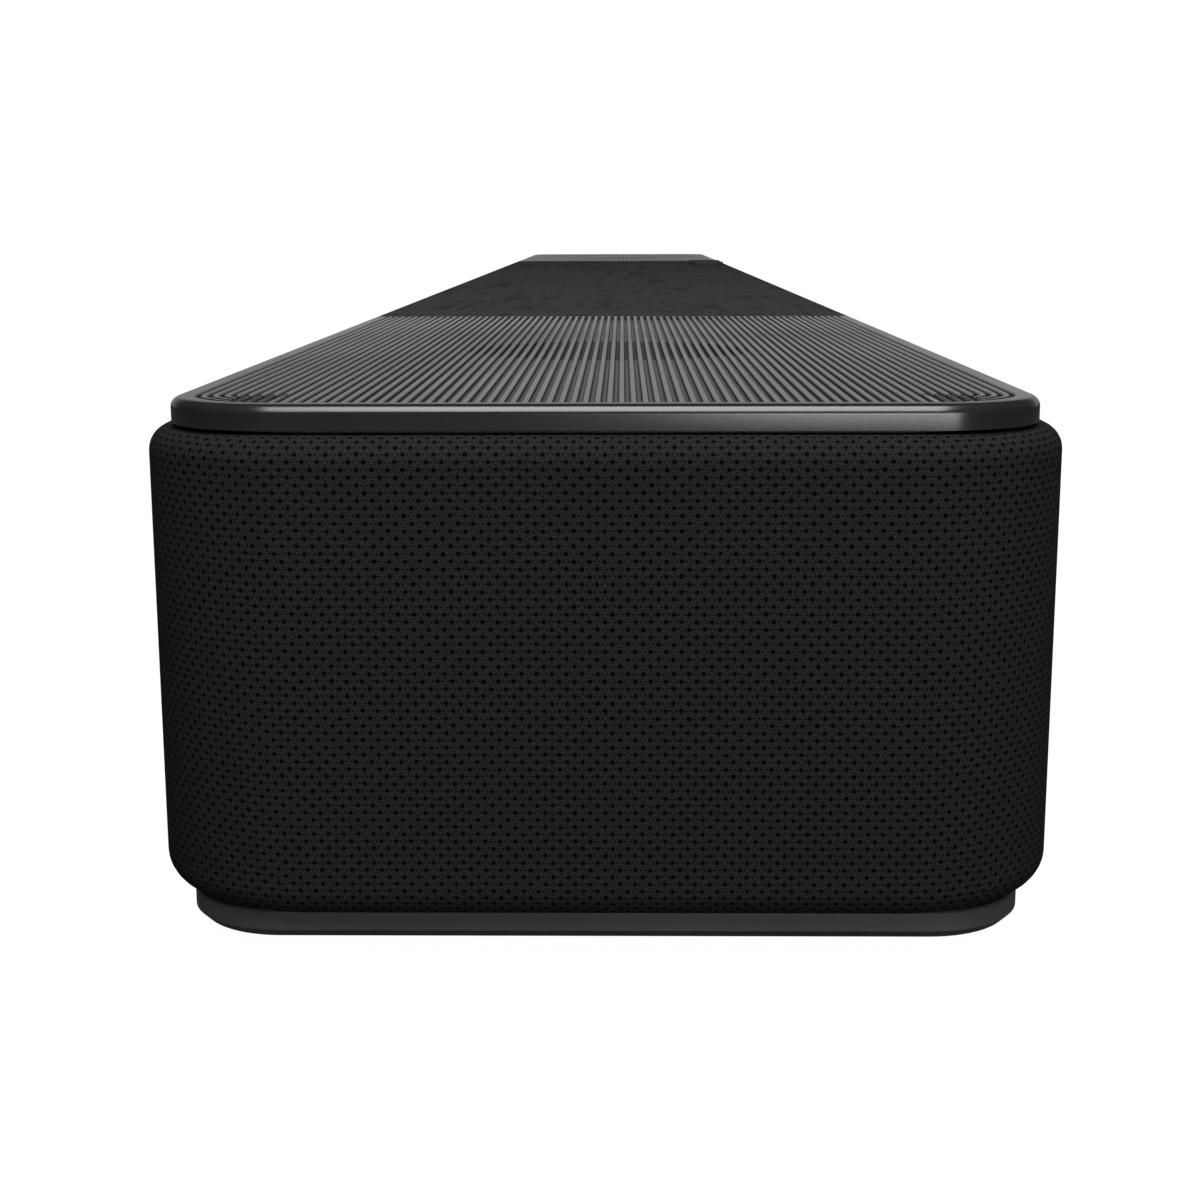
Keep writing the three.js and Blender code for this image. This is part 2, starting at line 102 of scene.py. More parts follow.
def calc(tree, operation, first, second=0.0, third=0.0, clamp=False):
    made = addNode(tree, "ShaderNodeMath", {0: first, 1: second, 2: third}, operation=operation)
    made.use_clamp = clamp
    return made.outputs[0]


def vectorCalc(tree, operation, first, second=(0, 0, 0), output="Vector"):
    made = addNode(tree, "ShaderNodeVectorMath", {0: first, 1: second}, operation=operation)
    return made.outputs[output]


def fade(tree, value, fromLow, fromHigh, toLow=0.0, toHigh=1.0):
    made = addNode(tree, "ShaderNodeMapRange", {
        "Value": value, "From Min": fromLow, "From Max": fromHigh,
        "To Min": toLow, "To Max": toHigh}, interpolation_type="SMOOTHSTEP")
    return made.outputs[0]


def blendColours(tree, factor, first, second, kind="MIX"):
    made = addNode(tree, "ShaderNodeMix", data_type="RGBA", blend_type=kind)
    for key, value in ((0, factor), (6, first), (7, second)):
        if isinstance(value, bpy.types.NodeSocket):
            tree.links.new(value, made.inputs[key])
        else:
            made.inputs[key].default_value = value
    return made.outputs[2]


def noise(tree, place, scale, detail=2.0, distortion=0.0, output=0):
    return addNode(tree, "ShaderNodeTexNoise", {
        "Vector": place, "Scale": scale, "Detail": detail, "Distortion": distortion}).outputs[output]


def centred(tree, value, amount, middle=0.5):
    # a value that swings about zero instead of about its middle
    return calc(tree, "MULTIPLY", calc(tree, "SUBTRACT", value, middle), amount)


def shadeBy(tree, colour, level):
    grey = addNode(tree, "ShaderNodeCombineXYZ", {0: level, 1: level, 2: level}).outputs[0]
    return vectorCalc(tree, "MULTIPLY", colour, grey)


def newGroup(name, inputs, outputs):
    tree = bpy.data.node_groups.new(name, "ShaderNodeTree")
    kinds = {"vector": "NodeSocketVector", "colour": "NodeSocketColor", "value": "NodeSocketFloat"}
    for label, kind in inputs:
        tree.interface.new_socket(name=label, in_out="INPUT", socket_type=kinds[kind])
    for label, kind in outputs:
        tree.interface.new_socket(name=label, in_out="OUTPUT", socket_type=kinds[kind])
    return tree, tree.nodes.new("NodeGroupInput").outputs, tree.nodes.new("NodeGroupOutput").inputs


# shared effects

def buildMouldedGrain():
    # spark-eroded mould texture with soft handling marks and a little dust
    tree, given, out = newGroup(
        "mouldedGrain",
        [("Place", "vector"), ("Colour", "colour"), ("Fineness", "value"),
         ("Variation", "value"), ("Roughness", "value"), ("Dust", "value")],
        [("Colour", "colour"), ("Roughness", "value"), ("Height", "value")])
    mould = {"patches": 18, "specks": 900, "dust": (0.25, 0.245, 0.24, 1), "wear": 0.16}
    fine = noise(tree, given["Place"], given["Fineness"], 3)
    broad = noise(tree, given["Place"], mould["patches"], 3, 0.4)
    speck = fade(tree, noise(tree, given["Place"], mould["specks"], 1), 0.70, 0.78)
    swing = centred(tree, fine, given["Variation"])
    slow = centred(tree, broad, given["Variation"])
    shaded = shadeBy(tree, given["Colour"], calc(tree, "ADD", calc(tree, "ADD", swing, slow), 1))
    dusty = calc(tree, "MULTIPLY", speck, given["Dust"])
    tree.links.new(blendColours(tree, dusty, shaded, mould["dust"]), out["Colour"])
    worn = centred(tree, broad, mould["wear"])
    tree.links.new(calc(tree, "ADD", given["Roughness"], worn, clamp=True), out["Roughness"])
    tree.links.new(fine, out["Height"])
    return tree


def buildPerforatedKnit():
    # staggered holes, each with four fainter ones round it, between fine threads; the holes and the fainter
    # ones are painted with shade, darker than the threads
    tree, given, out = newGroup(
        "perforatedKnit",
        [("Place", "vector"), ("Pitch", "value"), ("Thread", "colour"), ("Deep", "colour")],
        [("Colour", "colour"), ("Hole", "value"), ("Height", "value")])
    # distances are shares of the pitch between holes
    weave = {"wander": 0.2, "holeEdge": 0.19, "holeCore": 0.09, "beside": 0.33, "above": 0.29,
             "aboveFaded": 0.03, "smallEdge": 0.10, "smallCore": 0.03, "smallDepth": 0.55, "fuzz": 7.5}
    pitches = addNode(tree, "ShaderNodeCombineXYZ", {0: given["Pitch"], 1: given["Pitch"], 2: 1.0})
    cells = vectorCalc(tree, "DIVIDE", given["Place"], pitches.outputs[0])
    drift = noise(tree, cells, 1.3, 2, output=1)
    wander = vectorCalc(tree, "SUBTRACT", drift, (0.5, 0.5, 0.5))
    shift = vectorCalc(tree, "MULTIPLY", wander, (weave["wander"],) * 3)
    warped = vectorCalc(tree, "ADD", cells, shift)
    holes, small = [], []
    for offset in (0.0, 0.5):
        part = vectorCalc(tree, "FRACTION", vectorCalc(tree, "ADD", warped, (offset, offset, 0)))
        fromMiddle = vectorCalc(tree, "SUBTRACT", part, (0.5, 0.5, 0))
        flat = vectorCalc(tree, "MULTIPLY", fromMiddle, (1, 1, 0))
        side = vectorCalc(tree, "ABSOLUTE", flat)
        holes.append(vectorCalc(tree, "LENGTH", flat, output="Value"))
        small.append(vectorCalc(tree, "DISTANCE", side, (weave["beside"], 0, 0), "Value"))
        above = vectorCalc(tree, "DISTANCE", side, (0, weave["above"], 0), "Value")
        small.append(calc(tree, "ADD", above, weave["aboveFaded"]))
    hole = fade(tree, calc(tree, "MINIMUM", *holes), weave["holeEdge"], weave["holeCore"])
    near = calc(tree, "MINIMUM", calc(tree, "MINIMUM", small[0], small[1]),
                calc(tree, "MINIMUM", small[2], small[3]))
    faint = calc(tree, "MULTIPLY", fade(tree, near, weave["smallEdge"], weave["smallCore"]),
                 weave["smallDepth"])
    depth = calc(tree, "MAXIMUM", hole, faint)
    fuzz = noise(tree, cells, weave["fuzz"], 3)
    threads = shadeBy(tree, given["Thread"], calc(tree, "ADD", calc(tree, "MULTIPLY", fuzz, 1.3), 0.35))
    # painted shade: the holes and the fainter pits take the darker shade colour
    tree.links.new(blendColours(tree, depth, threads, given["Deep"]), out["Colour"])
    tree.links.new(hole, out["Hole"])
    tree.links.new(calc(tree, "SUBTRACT", calc(tree, "MULTIPLY", fuzz, 0.45), depth), out["Height"])
    return tree


def buildOpenGrain():
    # black-stained open grain that runs along the bar, with short flame-like strokes
    tree, given, out = newGroup(
        "openGrain",
        [("Place", "vector"), ("Light", "colour"), ("Dark", "colour"), ("Roughness", "value")],
        [("Colour", "colour"), ("Roughness", "value"), ("Height", "value")])
    # stretches are in cells per metre, along and across the bar
    grain = {"sway": (11, 34, 20), "reach": 0.016, "strokes": (15, 230, 60), "pores": (60, 1500, 300),
             "flame": (4.2, 40, 30), "rings": 11, "strength": 0.8, "poreStrength": 0.3}
    slow = vectorCalc(tree, "MULTIPLY", given["Place"], grain["sway"])
    sway = vectorCalc(tree, "SUBTRACT", noise(tree, slow, 1.0, 2, output=1), (0.5, 0.5, 0.5))
    shift = vectorCalc(tree, "MULTIPLY", sway, (0, grain["reach"], 0))
    bent = vectorCalc(tree, "ADD", given["Place"], shift)
    long = vectorCalc(tree, "MULTIPLY", bent, grain["strokes"])
    fine = vectorCalc(tree, "MULTIPLY", bent, grain["pores"])
    broken = calc(tree, "MULTIPLY", fade(tree, noise(tree, long, 1.0, 3, 0.5), 0.50, 0.66),
                  fade(tree, noise(tree, bent, 22, 2), 0.36, 0.60))
    pores = fade(tree, noise(tree, fine, 1.0, 2), 0.56, 0.70)
    flame = noise(tree, vectorCalc(tree, "MULTIPLY", given["Place"], grain["flame"]), 1.0, 2, 0.8)
    turns = calc(tree, "FRACT", calc(tree, "MULTIPLY", flame, grain["rings"]))
    ring = calc(tree, "ABSOLUTE", calc(tree, "SUBTRACT", turns, 0.5))
    stroke = calc(tree, "MULTIPLY", fade(tree, ring, 0.17, 0.03),
                  fade(tree, noise(tree, bent, 34, 2), 0.44, 0.60))
    lines = calc(tree, "MULTIPLY", calc(tree, "MAXIMUM", broken, stroke), grain["strength"])
    mark = calc(tree, "ADD", lines, calc(tree, "MULTIPLY", pores, grain["poreStrength"]), clamp=True)
    tree.links.new(blendColours(tree, mark, given["Light"], given["Dark"]), out["Colour"])
    tree.links.new(calc(tree, "ADD", given["Roughness"], calc(tree, "MULTIPLY", mark, 0.15)),
                   out["Roughness"])
    tree.links.new(calc(tree, "SUBTRACT", 0.0, mark), out["Height"])
    return tree


def buildDrawnMetal():
    # fine streaks left by drawing or turning, with duller patches
    tree, given, out = newGroup(
        "drawnMetal",
        [("Place", "vector"), ("Colour", "colour"), ("Roughness", "value"), ("Streaks", "value")],
        [("Colour", "colour"), ("Roughness", "value"), ("Height", "value")])
    drawn = {"stretch": (60, 2200, 2200), "patches": 45, "wear": 0.3}
    streak = noise(tree, vectorCalc(tree, "MULTIPLY", given["Place"], drawn["stretch"]), 1.0, 3)
    patch = noise(tree, given["Place"], drawn["patches"], 3, 0.6)
    level = calc(tree, "ADD", centred(tree, streak, given["Streaks"]), 1)
    tree.links.new(shadeBy(tree, given["Colour"], level), out["Colour"])
    worn = centred(tree, patch, drawn["wear"], middle=0.4)
    tree.links.new(calc(tree, "ADD", given["Roughness"], worn, clamp=True), out["Roughness"])
    tree.links.new(streak, out["Height"])
    return tree


mouldedGrain = buildMouldedGrain()
perforatedKnit = buildPerforatedKnit()
openGrain = buildOpenGrain()
drawnMetal = buildDrawnMetal()


# materials, one for each finish in the record

finishes = {
    "base_plastic": {"effect": mouldedGrain, "inputs": {"Colour": (0.038, 0.038, 0.039, 1), "Fineness": 2600,
                     "Variation": 0.3, "Roughness": 0.48, "Dust": 0.02}, "relief": 0.00002},
    "foot_rubber": {"effect": mouldedGrain, "inputs": {"Colour": (0.011, 0.011, 0.011, 1), "Fineness": 1500,
                    "Variation": 0.5, "Roughness": 0.85, "Dust": 0.10}, "relief": 0.00005},
    "inner_plastic": {"effect": mouldedGrain, "inputs": {"Colour": (0.012, 0.012, 0.012, 1), "Fineness": 1400,
                      "Variation": 0.35, "Roughness": 0.62, "Dust": 0.04}, "relief": 0.00004},
    "ribbed_plastic": {"effect": mouldedGrain, "inputs": {"Colour": (0.0125, 0.0125, 0.0128, 1),
                       "Fineness": 3200, "Variation": 0.25, "Roughness": 0.21, "Dust": 0.01},
                       "relief": 0.000006,
                       # the groove colour is painted shade down in the grooves
                       "groove": (0.012, 0.012, 0.012, 1), "grooveRoughness": 0.33},
    "port_plastic": {"effect": mouldedGrain, "inputs": {"Colour": (0.01, 0.01, 0.01, 1), "Fineness": 1800,
                     "Variation": 0.2, "Roughness": 0.25, "Dust": 0.03}, "relief": 0.00001},
    "cone_paper": {"effect": mouldedGrain, "inputs": {"Colour": (0.015, 0.015, 0.014, 1), "Fineness": 700,
                   "Variation": 0.7, "Roughness": 0.8, "Dust": 0.05}, "relief": 0.00012},
    "circuit_board": {"effect": mouldedGrain, "inputs": {"Colour": (0.01, 0.06, 0.03, 1), "Fineness": 420,
                      "Variation": 0.8, "Roughness": 0.35, "Dust": 0.05}, "relief": 0.00003},
    "winding_tape": {"effect": mouldedGrain, "inputs": {"Colour": (0.45, 0.34, 0.06, 1), "Fineness": 260,
                     "Variation": 0.4, "Roughness": 0.4, "Dust": 0.03}, "relief": 0.00006},
    "display_tint": {"effect": mouldedGrain, "inputs": {"Colour": (0.01, 0.01, 0.012, 1), "Fineness": 300,
                     "Variation": 0.2, "Roughness": 0.12, "Dust": 0.04}, "relief": 0.000005},
    "dark_wood": {"effect": openGrain, "inputs": {"Light": (0.0310, 0.0310, 0.0312, 1),
                  "Dark": (0.0180, 0.0180, 0.0180, 1), "Roughness": 0.85},
                  "relief": 0.00003, "specular": 0.02},
    "bright_steel": {"effect": drawnMetal, "inputs": {"Colour": (0.45, 0.45, 0.46, 1),
                     "Roughness": 0.32, "Streaks": 0.3}, "relief": 0.00001, "metallic": 1.0},
    "knob_metal": {"effect": drawnMetal, "inputs": {"Colour": (0.030, 0.030, 0.0305, 1),
                   "Roughness": 0.7, "Streaks": 0.25}, "relief": 0.00001, "specular": 0.08},
    "driver_steel": {"effect": drawnMetal, "inputs": {"Colour": (0.02, 0.02, 0.021, 1),
                     "Roughness": 0.45, "Streaks": 0.3}, "relief": 0.00002, "metallic": 0.4},
    "cone_metal": {"effect": drawnMetal, "inputs": {"Colour": (0.3, 0.3, 0.31, 1),
                   "Roughness": 0.36, "Streaks": 0.2}, "relief": 0.00001, "metallic": 0.9},
    "heat_sink_metal": {"effect": drawnMetal, "inputs": {"Colour": (0.5, 0.5, 0.51, 1),
                        "Roughness": 0.38, "Streaks": 0.35}, "relief": 0.00002, "metallic": 1.0},
}
# deep is painted shade for the holes in the cloth
knitFinish = {"pitch": 1.98 * mm, "thread": (0.0158, 0.0158, 0.0160, 1), "deep": (0.0016, 0.0016, 0.0016, 1),
              "relief": 0.00025}


def newMaterial(name):
    made = bpy.data.materials.new(name)
    made.use_nodes = True
    made.node_tree.nodes.clear()
    shader = made.node_tree.nodes.new("ShaderNodeBsdfPrincipled")
    end = made.node_tree.nodes.new("ShaderNodeOutputMaterial")
    made.node_tree.links.new(shader.outputs[0], end.inputs[0])
    return made, made.node_tree, shader


def addRelief(tree, shader, height, distance):
    bump = addNode(tree, "ShaderNodeBump", {"Height": height, "Distance": distance, "Strength": 1.0})
    tree.links.new(bump.outputs[0], shader.inputs["Normal"])


def makeFinish(name, finish):
    made, tree, shader = newMaterial(name)
    place = tree.nodes.new("ShaderNodeTexCoord").outputs["Object"]
    effect = tree.nodes.new("ShaderNodeGroup")
    effect.node_tree = finish["effect"]
    tree.links.new(place, effect.inputs["Place"])
    for label, value in finish["inputs"].items():
        effect.inputs[label].default_value = value
    colour, roughness = effect.outputs["Colour"], effect.outputs["Roughness"]
    if "groove" in finish:  # dull down in the grooves, with painted shade darkening their colour
        depth = addNode(tree, "ShaderNodeAttribute", attribute_name="groove").outputs["Fac"]
        colour = blendColours(tree, depth, colour, finish["groove"])
        dull = calc(tree, "MULTIPLY", depth, finish["grooveRoughness"])
        roughness = calc(tree, "MAXIMUM", roughness, dull)
    tree.links.new(colour, shader.inputs["Base Color"])
    tree.links.new(roughness, shader.inputs["Roughness"])
    shader.inputs["Metallic"].default_value = finish.get("metallic", 0.0)
    shader.inputs["Specular IOR Level"].default_value = finish.get("specular", 0.5)
    addRelief(tree, shader, effect.outputs["Height"], finish["relief"])
    return made


def makeKnit():
    made, tree, shader = newMaterial("cover_fabric")
    place = tree.nodes.new("ShaderNodeUVMap").outputs["UV"]
    effect = tree.nodes.new("ShaderNodeGroup")
    effect.node_tree = perforatedKnit
    tree.links.new(place, effect.inputs["Place"])
    effect.inputs["Pitch"].default_value = knitFinish["pitch"]
    effect.inputs["Thread"].default_value = knitFinish["thread"]
    effect.inputs["Deep"].default_value = knitFinish["deep"]
    tree.links.new(effect.outputs["Colour"], shader.inputs["Base Color"])
    tree.links.new(calc(tree, "ADD", 0.86, calc(tree, "MULTIPLY", effect.outputs["Hole"], 0.12)),
                   shader.inputs["Roughness"])
    shader.inputs["Specular IOR Level"].default_value = 0.02
    addRelief(tree, shader, effect.outputs["Height"], knitFinish["relief"])
    return made


materials = {name: makeFinish(name, finish) for name, finish in finishes.items()}
materials["cover_fabric"] = makeKnit()
print("materials made:", len(materials))


# helpers for meshes

def isVert(item):
    return isinstance(item, bmesh.types.BMVert)


def toObject(bm, name, smoothAngle=35):
    mesh = bpy.data.meshes.new(name)
    bm.to_mesh(mesh)
    bm.free()
    piece = bpy.data.objects.new(name, mesh)
    bpy.context.scene.collection.objects.link(piece)
    soften(piece, smoothAngle)
    return piece


def soften(piece, angle):
    piece.data.shade_smooth()
    piece.data.set_sharp_from_angle(angle=radians(angle))


def roundedSlab(inset, radius, low, high, topEdge=0.0, bottomEdge=0.0, cornerSteps=16, edgeSteps=6):
    # follows the bar's outline; insets, radii and heights in millimetres
    bm = bmesh.new()
    bmesh.ops.create_cube(bm, size=2)
    half = (cadHigh.x - inset * mm, cadHigh.y - inset * mm, (high - low) / 2 * mm)
    bmesh.ops.scale(bm, vec=half, verts=bm.verts)
    bmesh.ops.translate(bm, vec=(0, 0, (high + low) / 2 * mm), verts=bm.verts)
    upright = [e for e in bm.edges if abs(e.verts[0].co.z - e.verts[1].co.z) > 1e-6]
    bmesh.ops.bevel(bm, geom=upright, offset=radius * mm, segments=cornerSteps, profile=0.5,
                    affect="EDGES", material=-1)
    for height, edge in ((high, topEdge), (low, bottomEdge)):
        if edge > 0:
            rim = [e for e in bm.edges if all(abs(v.co.z - height * mm) < 1e-6 for v in e.verts)]
            bmesh.ops.bevel(bm, geom=rim, offset=edge * mm, segments=edgeSteps, profile=0.5,
                            affect="EDGES", material=-1)
    bmesh.ops.recalc_face_normals(bm, faces=bm.faces)
    return bm


def addBlock(bm, x0, x1, y0, y1, z0, z1):
    made = bmesh.ops.create_cube(bm, size=1)["verts"]
    bmesh.ops.scale(bm, vec=((x1 - x0) * mm, (y1 - y0) * mm, (z1 - z0) * mm), verts=made)
    bmesh.ops.translate(bm, vec=((x0 + x1) / 2 * mm, (y0 + y1) / 2 * mm, (z0 + z1) / 2 * mm), verts=made)


def addPost(bm, x, y, radius, z0, z1, steps=32):
    made = bmesh.ops.create_cone(bm, cap_ends=True, segments=steps, radius1=radius * mm,
                                 radius2=radius * mm, depth=(z1 - z0) * mm)["verts"]
    bmesh.ops.translate(bm, vec=(x * mm, y * mm, (z0 + z1) / 2 * mm), verts=made)


def shape(piece, operation, tool):
    # joins or cuts piece with tool, a bmesh, and keeps the result as its mesh
    helper = toObject(tool, "helper")
    change = piece.modifiers.new("change", "BOOLEAN")
    change.object = helper
    change.operation = operation
    change.solver = "EXACT"
    evaluated = piece.evaluated_get(bpy.context.evaluated_depsgraph_get())
    result = bpy.data.meshes.new_from_object(evaluated)
    piece.modifiers.clear()
    piece.data = result
    bpy.data.objects.remove(helper)


def place(piece, slotName, body, *nodes, angle=35):
    soften(piece, angle)
    piece.data.materials.clear()
    piece.data.materials.append(materials[slotName])
    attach(piece, body)
    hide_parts(*nodes)
    return piece


# fabric round the front, both ends and the rear corners

def makeSleeve():
    sleeve = {"backEdge": 500, "corner": 23.6, "topReach": 6.4, "topRoll": 3.6, "bottomRoll": 4.3,
              "tuck": 1.15, "thickness": 0.7, "cornerSteps": 24, "frontSteps": 30}
    low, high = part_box("fabric_cover")
    corner = sleeve["corner"] * mm
    topRoll, bottomRoll = sleeve["topRoll"] * mm, sleeve["bottomRoll"] * mm
    section = [(sleeve["topReach"] * mm, high.z)]
    for i in range(9):
        turn = pi / 2 * i / 8
        section.append((topRoll * (1 - sin(turn)), high.z - topRoll * (1 - cos(turn))))
    for i in range(9):
        turn = pi / 2 * i / 8
        section.append((bottomRoll * (1 - cos(turn)), low.z + bottomRoll * (1 - sin(turn))))
    section.append((bottomRoll + 0.05 * mm, low.z + sleeve["tuck"] * mm))
    bm = bmesh.new()
    along = bm.verts.layers.float.new("along")
    up = bm.verts.layers.float.new("up")
    line, reach = [], 0.0
    for inset, z in section:
        vert = bm.verts.new((-sleeve["backEdge"] * mm, high.y - inset, z))
        if line:
            reach += (vert.co - line[-1].co).length
        vert[up] = reach
        line.append(vert)
    edges = [bm.edges.new(pair) for pair in zip(line, line[1:])]
    geom = line + edges
    x, y = high.x - corner, high.y - corner
    stub = x - sleeve["backEdge"] * mm
    arc = pi / 2 * corner
    legs = [((-stub, 0, 0), None, stub, 3), (None, (-x, y, 0), arc, sleeve["cornerSteps"]),
            ((0, -2 * y, 0), None, 2 * y, 8), (None, (-x, -y, 0), arc, sleeve["cornerSteps"]),
            ((2 * x, 0, 0), None, 2 * x, sleeve["frontSteps"]),
            (None, (x, -y, 0), arc, sleeve["cornerSteps"]),
            ((0, 2 * y, 0), None, 2 * y, 8), (None, (x, y, 0), arc, sleeve["cornerSteps"]),
            ((-stub, 0, 0), None, stub, 3)]
    travelled = 0.0
    for shift, centre, length, steps in legs:
        for _ in range(steps):
            geom = bmesh.ops.spin(
                bm, geom=geom, cent=centre or (0, 0, 0), axis=(0, 0, 1),
                dvec=Vector(shift or (0, 0, 0)) / steps,
                angle=pi / 2 / steps if centre else 0.0, steps=1, use_duplicate=False)["geom_last"]
            travelled += length / steps
            for vert in filter(isVert, geom):
                vert[along] = travelled
    bmesh.ops.recalc_face_normals(bm, faces=bm.faces)
    frontFaces = [f for f in bm.faces if f.calc_center_median().y < -y]
    front = max(frontFaces, key=lambda f: abs(f.normal.y) * f.calc_area())
    if front.normal.y > 0:
        bmesh.ops.reverse_faces(bm, faces=bm.faces)
    spread = bm.loops.layers.uv.new("cloth")
    for face in bm.faces:
        for loop in face.loops:
            loop[spread].uv = (loop.vert[along], loop.vert[up])
    piece = toObject(bm, "fabricSleeve")
    place(piece, "cover_fabric", "cabinet", "fabric_cover", angle=60)
    wall = piece.modifiers.new("wall", "SOLIDIFY")
    wall.thickness = sleeve["thickness"] * mm
    wall.offset = -1
    print("sleeve: flat", round(reach, 4), "by", round(travelled, 4))


makeSleeve()


# the top, in three lengths cut from one rounded plate

plate = {"inset": 3.9, "radius": 16, "low": 72.7, "top": 76.1, "edge": 1.4, "skirt": 2,
         "underside": 73.7, "woodHalf": 326, "joint": 0.3}


def plateLength(name, x0, x1):
    piece = toObject(roundedSlab(plate["inset"], plate["radius"], plate["low"] - 5, plate["top"],
                                 plate["edge"], cornerSteps=24, edgeSteps=8), name)
    keep = bmesh.new()
    addBlock(keep, x0, x1, -80, 80, plate["low"], 90)
    shape(piece, "INTERSECT", keep)
    shape(piece, "DIFFERENCE", roundedSlab(plate["inset"] + plate["skirt"], plate["radius"] - plate["skirt"],
                                           60, plate["underside"]))
    return piece


ribs = {"pitch": 1.583, "eachSide": 35, "rim": 3.3, "turnFrom": 32, "arcSteps": 20,
        "fromWood": 0.4, "shadedBelow": 0.1, "plainRim": 2.4,
        # half of a groove's section, as offset and height from the plate's top
        "section": [(0.60, 0.3), (0.55, 0.02), (0.47, -0.05), (0.42, -0.15), (0.34, -0.62), (0.18, -0.75)],
        "window": (441, 26, 75.5)}


def grooveFace(bm, x, y):
    outline = ribs["section"] + [(-o, h) for o, h in reversed(ribs["section"])]
    return bm.faces.new([bm.verts.new((x * mm, (y + o) * mm, (plate["top"] + h) * mm)) for o, h in outline])


def makeRibbedPanel(name, side):
    inner = plate["woodHalf"] + plate["joint"] / 2
    cornerX = cadHigh.x / mm - plate["inset"] - plate["radius"]
    cornerY = cadHigh.y / mm - plate["inset"] - plate["radius"]
    arc = plate["radius"] - ribs["rim"]
    start = inner + ribs["fromWood"]
    piece = plateLength(name, inner, 600)
    straight = bmesh.new()
    for i in range(-ribs["eachSide"], ribs["eachSide"] + 1):
        y = i * ribs["pitch"]
        beyond = max(0.0, abs(y) - cornerY)
        end = cornerX + sqrt(arc * arc - beyond * beyond)
        if abs(i) >= ribs["turnFrom"]:
            end = cornerX + 0.3  # these turn the corner instead
        face = grooveFace(straight, start, y)
        far = bmesh.ops.extrude_face_region(straight, geom=[face])["geom"]
        bmesh.ops.translate(straight, vec=((end - start) * mm, 0, 0), verts=list(filter(isVert, far)))
    bmesh.ops.recalc_face_normals(straight, faces=straight.faces)
    shape(piece, "DIFFERENCE", straight)
    for corner in (-1, 1):
        turned = bmesh.new()
        centre = (cornerX * mm, corner * cornerY * mm, 0)
        for i in range(ribs["eachSide"] + 1):
            if i * ribs["pitch"] > cornerY + 1:
                face = grooveFace(turned, cornerX, corner * i * ribs["pitch"])
                whole = [face] + list(face.edges) + list(face.verts)
                bmesh.ops.spin(turned, geom=whole, cent=centre, axis=(0, 0, 1), angle=-corner * pi / 2,
                               steps=ribs["arcSteps"], use_duplicate=False)
        bmesh.ops.recalc_face_normals(turned, faces=turned.faces)
        shape(piece, "DIFFERENCE", turned)
    window = bmesh.new()
    x, radius, top = ribs["window"]
    addPost(window, x, 0, radius, 60, top, 40)
    shape(piece, "DIFFERENCE", window)
    if side < 0:
        turnedRound = bmesh.new()
        turnedRound.from_mesh(piece.data)
        bmesh.ops.scale(turnedRound, vec=(-1, 1, 1), verts=turnedRound.verts)
        bmesh.ops.reverse_faces(turnedRound, faces=turnedRound.faces)
        turnedRound.to_mesh(piece.data)
        turnedRound.free()
    # marks the groove floors and flanks, for painted shade in their colour and a duller roughness
    depth = piece.data.attributes.new("groove", "FLOAT", "POINT")
    for vert in piece.data.vertices:
        over = Vector((max(0, abs(vert.co.x) - cornerX * mm), max(0, abs(vert.co.y) - cornerY * mm)))
        inside = over.length < (plate["radius"] - ribs["plainRim"]) * mm
        below = vert.co.z < (plate["top"] - ribs["shadedBelow"]) * mm
        depth.data[vert.index].value = float(inside and below)
    node = "ribbed_panel_left" if side < 0 else "ribbed_panel_right"
    place(piece, "ribbed_plastic", "cabinet", node, angle=28)


knobs = {"places": {"source": 215, "volume": 250}, "y": -47, "radius": 8.5, "low": 75.5, "top": 78,
         "recess": 74.9, "play": 0.5, "shaft": 2.7, "shaftTop": 77, "steps": 72,
         "lowEdge": 0.25, "rimRound": 0.75, "dish": [(7.1, 0.02), (6.8, 0.12), (4, 0.2), (0, 0.22)]}


def makeWoodPanel():
    half = plate["woodHalf"] - plate["joint"] / 2
    piece = plateLength("woodGrainPanel", -half, half)
    for x in knobs["places"].values():
        recess = bmesh.new()
        addPost(recess, x, knobs["y"], knobs["radius"] + knobs["play"], knobs["recess"], 80, 72)
        shape(piece, "DIFFERENCE", recess)
        hole = bmesh.new()
        addPost(hole, x, knobs["y"], knobs["shaft"] + 0.7, 60, 80, 32)
        shape(piece, "DIFFERENCE", hole)
    place(piece, "dark_wood", "cabinet", "wood_panel", angle=28)


def makeScrim(name, side):
    # thin cloth behind the open grooves, over the driver that fires upwards
    scrim = {"gap": 0.1, "below": 0.16, "hem": 3, "thickness": 0.15, "steps": 48}
    x, radius, top = ribs["window"]
    bm = bmesh.new()
    bmesh.ops.create_circle(bm, cap_ends=True, segments=scrim["steps"], radius=(radius - scrim["gap"]) * mm)
    bmesh.ops.translate(bm, vec=(side * x * mm, 0, (top - scrim["below"]) * mm), verts=bm.verts)
    bmesh.ops.inset_individual(bm, faces=bm.faces[:], thickness=scrim["hem"] * mm)
    bmesh.ops.solidify(bm, geom=bm.faces[:], thickness=scrim["thickness"] * mm)
    bmesh.ops.recalc_face_normals(bm, faces=bm.faces)
    piece = toObject(bm, name)
    piece.data.materials.append(materials["inner_plastic"])
    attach(piece, "cabinet")


makeRibbedPanel("ribbedPanelLeft", -1)
makeRibbedPanel("ribbedPanelRight", 1)
makeScrim("grilleScrimLeft", -1)
makeScrim("grilleScrimRight", 1)
makeWoodPanel()
print("top plate made")


# knobs, turned with a rounded rim and a shallow dish

